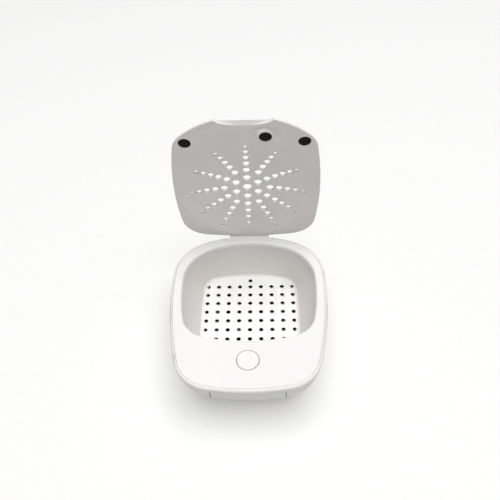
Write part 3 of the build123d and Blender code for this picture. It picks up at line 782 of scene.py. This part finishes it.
@dataclass
class DryingChamber(SubAssembly):
    """The deck with its bowl, the perforated floor and the base's two magnets, in millimetres."""

    finishes: dict[str, Finish] = field(default_factory=lambda: {
        "top_deck": Finish.DECK_WHITE,
        # The bowl's darker tint is painted shade inside the chamber.
        "drying_bowl": Finish.BOWL_PAINTED_SHADE,
        "base_magnets": Finish.MAGNET,
    })
    pitch: float = 5.5
    columns: int = 9
    rows: int = 7
    middle_y: float = 11.786
    rear_hole_y: float = 32.386
    hole_r: float = 1.08
    lead_in: float = 0.1
    relief_r: float = 1.6
    skin: float = 0.4
    sides: int = 28

    def dress(self) -> None:
        """Give the nodes their finishes, and make the floor."""
        super().dress()
        self._floor()

    def _floor(self) -> None:
        """Make the floor from its CAD plate: wider holes, with the plate thinned round them from below."""
        name = "chamber_grille"
        plate = bmesh.new()
        plate.from_mesh(self.nodes[name].data)
        bmesh.ops.scale(plate, vec=(1 / MM, 1 / MM, 1 / MM), verts=plate.verts)
        top = max(v.co.z for v in plate.verts)
        wide = self.hole_r + self.lead_in
        profile = [(self.relief_r, top - 3.0), (self.relief_r, top - self.skin),
                   (self.hole_r, top - self.skin), (self.hole_r, top - self.lead_in),
                   (wide, top + 0.02), (wide, top + 1.0)]
        tools = bmesh.new()
        places = [((column - self.columns // 2) * self.pitch,
                   self.middle_y + (row - self.rows // 2) * self.pitch)
                  for column in range(self.columns) for row in range(self.rows)]
        places.append((0.0, self.rear_hole_y))
        for place in places:
            lathe(tools, place, profile, self.sides)
        floor = cut(plate, tools)
        to_metres(floor)
        piece = add_mesh("chamber_floor", floor, body_of(self.nodes[name])[0], Finish.DECK_WHITE)
        smooth_by_angle(piece.data)
        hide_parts(name)
        log.info("chamber floor made with %d holes", len(places))


@dataclass
class FlipLid(SubAssembly):
    """The thin vented lid with its three discs and hinge pin, in millimetres on the closed base."""

    finishes: dict[str, Finish] = field(default_factory=lambda: {
        "hinge_pin": Finish.STEEL,
    })
    plan: LidPlan = LidPlan()
    plan_y: float = -1.51397
    seat: float = 34.3
    open_angle: float = math.radians(79.0)
    hinge: tuple[float, float] = (42.46, 31.75)
    wall: float = 1.0
    edge: float = 1.3
    edge_round: float = 0.6
    hollow_rise: float = 5.6
    hollow_cross_r: float = 98.857
    hollow_long_r: float = 147.094
    disc_r: float = 2.65
    disc_thick: float = 0.8
    disc_recess: float = 0.15
    disc_places: tuple = ((-24.9, -27.5), (24.9, -27.5), (8.7, -30.4))
    ring_wall: float = 0.95
    post_foot: float = 2.4
    tongue_half: float = 10.05
    tongue_root: float = 39.3
    barrel_r: float = 1.35
    pin_r: float = 0.64
    pin_half: float = 12.0
    notch_half: float = 12.1
    notch_inner: tuple[float, float] = (6.0, 1.3)
    notch_outer: tuple[float, float] = (4.0, 2.25)
    vent_rays: int = 12
    vent_middle: tuple[float, float] = (0.0, 8.0)
    vent_stretch: float = 1.075
    vent_shares: tuple = (0.175, 0.32, 0.4475, 0.5633, 0.6722, 0.7758)
    vent_middle_r: float = 2.05
    vent_hole_r: tuple = (1.8, 1.66, 1.54, 1.4, 1.22, 0.92)
    above: float = 12.0

    def dress(self) -> None:
        """Give the pin its finish, and make the lid and its discs."""
        super().dress()
        lid = add_mesh("lid_moulding", self._opened(self._moulding()), self._body("lid"), Finish.LID_WHITE)
        smooth_by_angle(lid.data)
        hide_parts("lid")
        for name, nodes, places in (("corner_discs", "lid_corner_magnets", self.disc_places[:2]),
                                    ("sensor_disc", "lid_sensor_magnet", self.disc_places[2:])):
            discs = bmesh.new()
            for place in places:
                lathe(discs, place, self._disc_profile())
            piece = add_mesh(name, self._opened(discs), self._body(nodes), Finish.MAGNET)
            smooth_by_angle(piece.data)
            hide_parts(nodes)
        log.info("lid made with %d vents", len(self._vent_holes()))

    def _body(self, node: str) -> str:
        """Return the CAD body that a node rides on."""
        return body_of(self.nodes[node])[0]

    def _opened(self, mesh: bmesh.types.BMesh) -> bmesh.types.BMesh:
        """Turn a mesh from its place on the closed base to the open lid's, in metres."""
        hinge_y, hinge_z = self.hinge
        c, s = math.cos(self.open_angle), math.sin(self.open_angle)
        for v in mesh.verts:
            x, dy, dz = v.co.x, v.co.y - hinge_y, v.co.z + self.seat - hinge_z
            v.co = (x * MM, (self.plan_y + hinge_y + dy * c + dz * s) * MM,
                    (hinge_z - dy * s + dz * c) * MM)
        return mesh

    def _hollow(self, x: float, y: float) -> float:
        """Return the height of the inner face over the lid's edge at a place of the plan."""
        return self._dome(x, y, self.hollow_rise, self.hollow_cross_r, self.hollow_long_r)

    def _dome(self, x: float, y: float, top: float, cross_r: float, long_r: float) -> float:
        """Return the height of a dome that is curved both across and along."""
        along = top - long_r + math.sqrt(max(0.0, long_r ** 2 - (y - self.plan.middle) ** 2))
        reach = cross_r - top + along
        return top - cross_r + math.sqrt(max(0.0, reach ** 2 - x ** 2))

    def _skin(self, x: float, y: float) -> float:
        """Return the height of the outer face, which eases into the flat of the corners."""
        rise = self.hollow_rise + self.wall
        drop = rise - self.edge
        cross_r = (self.plan.half_width ** 2 + drop ** 2) / (2 * drop)
        long_r = (self.plan.half ** 2 + drop ** 2) / (2 * drop)
        dome = self._dome(x, y, rise, cross_r, long_r)
        gap, softness, sink = dome - self.edge, 0.04, 0.02
        return self.edge + 0.5 * (gap + math.sqrt(gap * gap + softness)) - sink

    def _block(self) -> bmesh.types.BMesh:
        """Return the lid's outside as a closed solid on a flat foot."""
        mesh = bmesh.new()
        rings = [hoop(mesh, [(x, y, 0.0) for x, y in self.plan.ring(0.0)])]
        round_steps = 6
        for step in range(round_steps + 1):
            turn = math.pi / 2 * step / round_steps
            points = self.plan.ring(self.edge_round * (1 - math.cos(turn)))
            drop = self.edge_round * (1 - math.sin(turn))
            rings.append(hoop(mesh, [(x, y, self._skin(x, y) - drop) for x, y in points]))
        insets = (1.1, 1.8, 2.8, 4.0, 5.5, 7.5, 9.5)
        for inset in insets:
            rings.append(hoop(mesh, [(x, y, self._skin(x, y)) for x, y in self.plan.ring(inset)]))
        inner = self.plan.ring(insets[-1])
        for share in (0.92, 0.83, 0.73, 0.62, 0.5, 0.38, 0.26, 0.14):
            points = [(share * x, self.plan.middle + share * (y - self.plan.middle)) for x, y in inner]
            rings.append(hoop(mesh, [(x, y, self._skin(x, y)) for x, y in points]))
        for lower, upper in zip(rings, rings[1:]):
            bridge(mesh, lower, upper)
        mesh.faces.new(list(reversed(rings[0])))
        top = mesh.verts.new((0.0, self.plan.middle, self._skin(0.0, self.plan.middle)))
        for i, vertex in enumerate(rings[-1]):
            mesh.faces.new((vertex, rings[-1][(i + 1) % len(rings[-1])], top))
        return mesh

    def _inside(self) -> bmesh.types.BMesh:
        """Return the hollow under the dome as a closed solid that reaches below the lid's edge."""
        mesh = bmesh.new()
        columns, rows, depth = 64, 80, -20.0
        half_x, half_y = 34.0, self.plan.half
        top = [[mesh.verts.new((x, y, self._hollow(x, y))) for x in
                (half_x * (2 * i / columns - 1) for i in range(columns + 1))]
               for y in (self.plan.middle + half_y * (2 * k / rows - 1) for k in range(rows + 1))]
        low = [[mesh.verts.new((v.co.x, v.co.y, depth)) for v in row] for row in (top[0], top[-1])]
        left = [mesh.verts.new((-half_x, row[0].co.y, depth)) for row in top[1:-1]]
        right = [mesh.verts.new((half_x, row[0].co.y, depth)) for row in top[1:-1]]
        for lower, upper in zip(top, top[1:]):
            for i in range(columns):
                mesh.faces.new((lower[i], lower[i + 1], upper[i + 1], upper[i]))
        for i in range(columns):
            mesh.faces.new((low[0][i], low[0][i + 1], top[0][i + 1], top[0][i]))
            mesh.faces.new((top[-1][i], top[-1][i + 1], low[1][i + 1], low[1][i]))
        sides_left = [low[0][0], *left, low[1][0]]
        sides_right = [low[0][-1], *right, low[1][-1]]
        for k in range(rows):
            mesh.faces.new((sides_left[k], top[k][0], top[k + 1][0], sides_left[k + 1]))
            mesh.faces.new((top[k][-1], sides_right[k], sides_right[k + 1], top[k + 1][-1]))
        mesh.faces.new([*low[0][::-1], *left, *low[1], *reversed(right)])
        face_outward(mesh)
        return mesh

    def _posts(self) -> bmesh.types.BMesh:
        """Return the softly edged posts round the three discs."""
        mesh = bmesh.new()
        outer = self.disc_r + self.ring_wall
        for x, y in self.disc_places:
            foot = max(0.5, self._hollow(x, y))
            profile = [(outer - 0.3, 0.0), (outer - 0.08, 0.08), (outer + 0.06, 0.3)]
            profile += [(outer + 0.1 + self.post_foot * share ** 1.6, 0.3 + (foot + 0.4) * share)
                        for share in (0.25, 0.5, 0.75, 1.0)]
            profile += [(outer + 2.5, self.above)]
            lathe(mesh, (x, y), profile, 48)
        return mesh

    def _disc_profile(self) -> list[tuple[float, float]]:
        """Return the profile of a disc with a worn edge, from its shown face up."""
        low, high = self.disc_recess, self.disc_recess + self.disc_thick
        worn = 0.18
        return [(self.disc_r - worn, low), (self.disc_r - 0.05, low + 0.05), (self.disc_r, low + worn),
                (self.disc_r, high)]

    def _vent_holes(self) -> list[tuple[tuple[float, float], float]]:
        """Return the place and radius of each vent; every second ray starts one vent further out."""
        holes = [(self.vent_middle, self.vent_middle_r)]
        for ray in range(self.vent_rays):
            turn = 2 * math.pi * ray / self.vent_rays
            for ring in range(ray % 2, len(self.vent_shares)):
                reach = self.vent_shares[ring] * self.plan.half_width
                place = (self.vent_middle[0] + reach * math.sin(turn),
                         self.vent_middle[1] + self.vent_stretch * reach * math.cos(turn))
                holes.append((place, self.vent_hole_r[ring]))
        return holes

    def _vents(self) -> bmesh.types.BMesh:
        """Return the cutters of the star of vents, flared at the inner face."""
        mesh = bmesh.new()
        for place, radius in self._vent_holes():
            face = self._hollow(*place)
            profile = [(radius + 0.5, face - 1.2), (radius + 0.22, face - 0.05),
                       (radius + 0.05, face + 0.22), (radius, face + 0.4), (radius, self.above)]
            lathe(mesh, place, profile, 28)
        return mesh

    def _notch(self) -> bmesh.types.BMesh:
        """Return the cutter of the finger scoop in the front edge."""
        mesh = bmesh.new()
        front = self.plan.front
        side_y = front + self.plan.front_r - math.sqrt(self.plan.front_r ** 2 - self.notch_half ** 2)
        rings = []
        (inner, low), (outer, high) = self.notch_inner, self.notch_outer
        past, half, outside = 0.6, self.notch_half, front - 6
        for height, depth in ((-1.0, inner + 1.0), (low, inner), (high, outer),
                              (high + past, outer - past * (inner - outer) / (high - low))):
            points = arc_through((-half, side_y), (0.0, front + depth), (half, side_y), 24)
            points += [(half, side_y), (half, outside), (-half, outside)]
            rings.append(hoop(mesh, [(x, y, height) for x, y in points]))
        close_rings(mesh, rings)
        face_outward(mesh)
        return mesh

    def _tongue(self) -> bmesh.types.BMesh:
        """Return the hinge tongue with its rounded knuckle."""
        hinge_y, hinge_z = self.hinge[0], self.hinge[1] - self.seat
        r, steps = self.barrel_r, 16
        side = [(self.tongue_root, 0.03), (hinge_y - r, 0.03)]
        side += [(hinge_y - r * math.cos(math.pi * i / steps), hinge_z - r * math.sin(math.pi * i / steps))
                 for i in range(steps + 1)]
        side += [(hinge_y + r, 0.35), (hinge_y + r - 0.15, 0.6), (hinge_y + r - 0.45, 0.75), (40.3, 0.95),
                 (self.tongue_root, 1.1)]
        mesh = bmesh.new()
        close_rings(mesh, [hoop(mesh, [(x, y, z) for y, z in side])
                           for x in (-self.tongue_half, self.tongue_half)])
        face_outward(mesh)
        return mesh

    def _wells(self) -> bmesh.types.BMesh:
        """Return the cutters of the three wells that the discs sit in."""
        mesh = bmesh.new()
        for place in self.disc_places:
            lathe(mesh, place, [(self.disc_r + 0.2, -1.0), (self.disc_r + 0.05, 0.12),
                                (self.disc_r + 0.05, self.disc_recess + self.disc_thick)], 48)
        return mesh

    def _pin_hole(self) -> bmesh.types.BMesh:
        """Return the cutter of the hinge pin's hole."""
        mesh = bmesh.new()
        close_rings(mesh, [hoop(mesh, [(x, self.hinge[0] + self.pin_r * math.cos(math.pi * i / 12),
                                        self.hinge[1] - self.seat + self.pin_r * math.sin(math.pi * i / 12))
                                       for i in range(24)]) for x in (-self.pin_half, self.pin_half)])
        face_outward(mesh)
        return mesh

    def _moulding(self) -> bmesh.types.BMesh:
        """Return the lid's moulding: dome, edge, posts, tongue, wells, pin hole, vents and scoop."""
        lid = cut(self._block(), cut(self._inside(), self._posts()))
        lid = cut(lid, self._tongue(), "UNION")
        for cutter in (self._wells, self._vents, self._notch, self._pin_hole):
            lid = cut(lid, cutter())
        return lid


@dataclass
class ControlUnit(SubAssembly):
    """The push button with its spring and switch, and the control board under the deck."""

    finishes: dict[str, Finish] = field(default_factory=lambda: {
        "button_cap": Finish.BUTTON_WHITE,
        "tact_switch": Finish.STEEL,
        "switch_plunger": Finish.BLACK_PLASTIC,
        "control_board": Finish.BOARD,
        "controller_chip": Finish.BLACK_PLASTIC,
        "board_connector": Finish.SHELL_WHITE,
        "status_led": Finish.LED,
        "lid_sensor": Finish.BLACK_PLASTIC,
    })
    button_y: float = -31.614
    button_travel: float = 0.6
    spring_low: float = 27.2
    spring_high: float = 31.0
    spring_r: float = 5.0
    spring_turns: int = 5
    end_turn: float = 0.75
    turn_steps: int = 48
    wire_r: float = 0.22
    wire_sides: int = 10

    def dress(self) -> None:
        """Give the nodes their finishes and make the board's screws and the button's spring."""
        super().dress()
        cross_screws("board_screw_set", self.nodes["board_screws"])
        self._spring()

    def _spring(self) -> None:
        """Wind the button's return spring, flat at both ends."""
        wire = bmesh.new()
        free = self.spring_high - self.spring_low - 2 * self.wire_r
        rising = self.spring_turns - 2 * self.end_turn
        corners = [2 * math.pi * i / self.wire_sides for i in range(self.wire_sides)]
        up = Vector((0.0, 0.0, 1.0))
        rings = []
        for step in range(self.turn_steps * self.spring_turns + 1):
            turn = 2 * math.pi * step / self.turn_steps
            share = min(1.0, max(0.0, (step / self.turn_steps - self.end_turn) / rising))
            height = self.spring_low + self.wire_r + free * share
            out = Vector((math.cos(turn), math.sin(turn), 0.0))
            middle = Vector((0.0, self.button_y, height)) + out * self.spring_r
            rings.append(hoop(wire, [middle + self.wire_r * (out * math.cos(a) + up * math.sin(a))
                                     for a in corners]))
        close_rings(wire, rings)
        face_outward(wire)
        to_metres(wire)
        node = self.nodes["button_spring"]
        spring = add_mesh("return_spring", wire, body_of(node)[0], Finish.STEEL)
        smooth_by_angle(spring.data, limit=1.2)
        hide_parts("button_spring")
        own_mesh(spring)


@dataclass
class WarmAirUnit(SubAssembly):
    """The fan and the heater plate under the chamber."""

    finishes: dict[str, Finish] = field(default_factory=lambda: {
        "fan_housing": Finish.BLACK_PLASTIC,
        "fan_stator": Finish.COPPER,
        "fan_rotor": Finish.BLACK_PLASTIC,
        "fan_shaft": Finish.STEEL,
        "heat_spreader": Finish.SPREADER,
        "heating_elements": Finish.HEATER,
        "thermal_fuse": Finish.STEEL,
    })


@dataclass
class PowerInlet(SubAssembly):
    """The low-voltage power inlet in the rear wall."""

    finishes: dict[str, Finish] = field(default_factory=lambda: {
        "inlet_shell": Finish.STEEL,
        "inlet_contacts": Finish.BLACK_PLASTIC,
        "inlet_board": Finish.BOARD,
    })


# ---------------- studio


@dataclass(frozen=True)
class SoftBox:
    """A square soft lamp that is aimed at a point of the object."""

    name: str
    place: tuple[float, float, float]
    aim: tuple[float, float, float]
    size: float
    watts: float

    def build(self) -> bpy.types.Object:
        """Return the lamp, placed and aimed."""
        data = bpy.data.lights.new(self.name, "AREA")
        data.size = self.size
        data.energy = self.watts
        lamp = new_object(self.name, data)
        lamp.location = self.place
        lamp.rotation_mode = "QUATERNION"
        lamp.rotation_quaternion = (Vector(self.aim) - Vector(self.place)).to_track_quat("-Z", "Y")
        return lamp


@dataclass(frozen=True)
class Viewpoint:
    """The camera: its place, its heading and tilts in radians, and its lens in millimetres."""

    place: tuple[float, float, float] = (0.007744, -0.162434, 0.23691)
    pitch: float = 0.804104
    yaw: float = -0.0375765
    roll: float = -0.041068
    lens: float = 40.41
    sensor: float = 36.0
    nearest: float = 0.01

    def build(self) -> bpy.types.Object:
        """Return the scene's camera."""
        ahead = Vector((math.sin(self.yaw) * math.cos(self.pitch),
                        math.cos(self.yaw) * math.cos(self.pitch), -math.sin(self.pitch)))
        right = Vector((math.cos(self.yaw), -math.sin(self.yaw), 0.0))
        up = right.cross(ahead)
        across = right * math.cos(self.roll) + up * math.sin(self.roll)
        upward = up * math.cos(self.roll) - right * math.sin(self.roll)
        data = bpy.data.cameras.new("camera")
        data.lens = self.lens
        data.sensor_width = self.sensor
        data.clip_start = self.nearest
        camera = new_object("camera", data)
        turned = Matrix((across, upward, -ahead)).transposed().to_4x4()
        camera.matrix_world = Matrix.Translation(self.place) @ turned
        bpy.context.scene.camera = camera
        return camera


@dataclass
class Studio:
    """Pale floor, soft lamp, white surroundings and the camera."""

    floor_half: float = 3.0
    floor_tint: Tint = Tint(214, 214, 212)
    sky_light: float = 0.15
    sky_seen: float = 1.0
    lamps: tuple[SoftBox, ...] = (
        SoftBox("overhead_box", (0.16, -0.26, 2.0), (0.0, 0.0, 0.0), 1.6, 41.8),
    )
    viewpoint: Viewpoint = Viewpoint()

    def build(self) -> None:
        """Make the floor, lamps, surroundings and camera."""
        self._floor()
        self._surroundings()
        for lamp in self.lamps:
            lamp.build()
            log.info("lamp %s", lamp.name)
        self.viewpoint.build()

    def _floor(self) -> None:
        """Lay the pale floor under the feet."""
        sheet = bmesh.new()
        bmesh.ops.create_grid(sheet, x_segments=2, y_segments=2, size=self.floor_half)
        mesh = bpy.data.meshes.new("floor")
        sheet.to_mesh(mesh)
        sheet.free()
        mesh.materials.append(StudioFloor("floor_paper", self.floor_tint).build())
        floor = new_object("floor", mesh)

    def _surroundings(self) -> None:
        """Light the scene from all sides and show white where the view meets no floor."""
        world = bpy.data.worlds.new("surroundings")
        bpy.context.scene.world = world
        world.use_nodes = True
        tree = world.node_tree
        tree.nodes.clear()
        out = tree.nodes.new("ShaderNodeOutputWorld")
        mix = tree.nodes.new("ShaderNodeMixShader")
        tree.links.new(seen_directly(tree), mix.inputs["Fac"])
        for socket, strength in ((1, self.sky_light), (2, self.sky_seen)):
            sky = tree.nodes.new("ShaderNodeBackground")
            sky.inputs["Color"].default_value = (1.0, 1.0, 1.0, 1.0)
            sky.inputs["Strength"].default_value = strength
            tree.links.new(sky.outputs["Background"], mix.inputs[socket])
        tree.links.new(mix.outputs["Shader"], out.inputs["Surface"])


def main() -> None:
    """Build the scene: load the frame, dress each sub-assembly, light it and place the camera."""
    logging.basicConfig(level=logging.INFO, format="%(name)s: %(message)s")
    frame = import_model()
    for kind in (Casing, DryingChamber, FlipLid, ControlUnit, WarmAirUnit, PowerInlet):
        kind(frame["nodes"]).dress()
        log.info("%s dressed", kind.__name__)
    Studio().build()
    bpy.context.scene.view_settings.view_transform = "Standard"


if __name__ == "__main__":
    main()
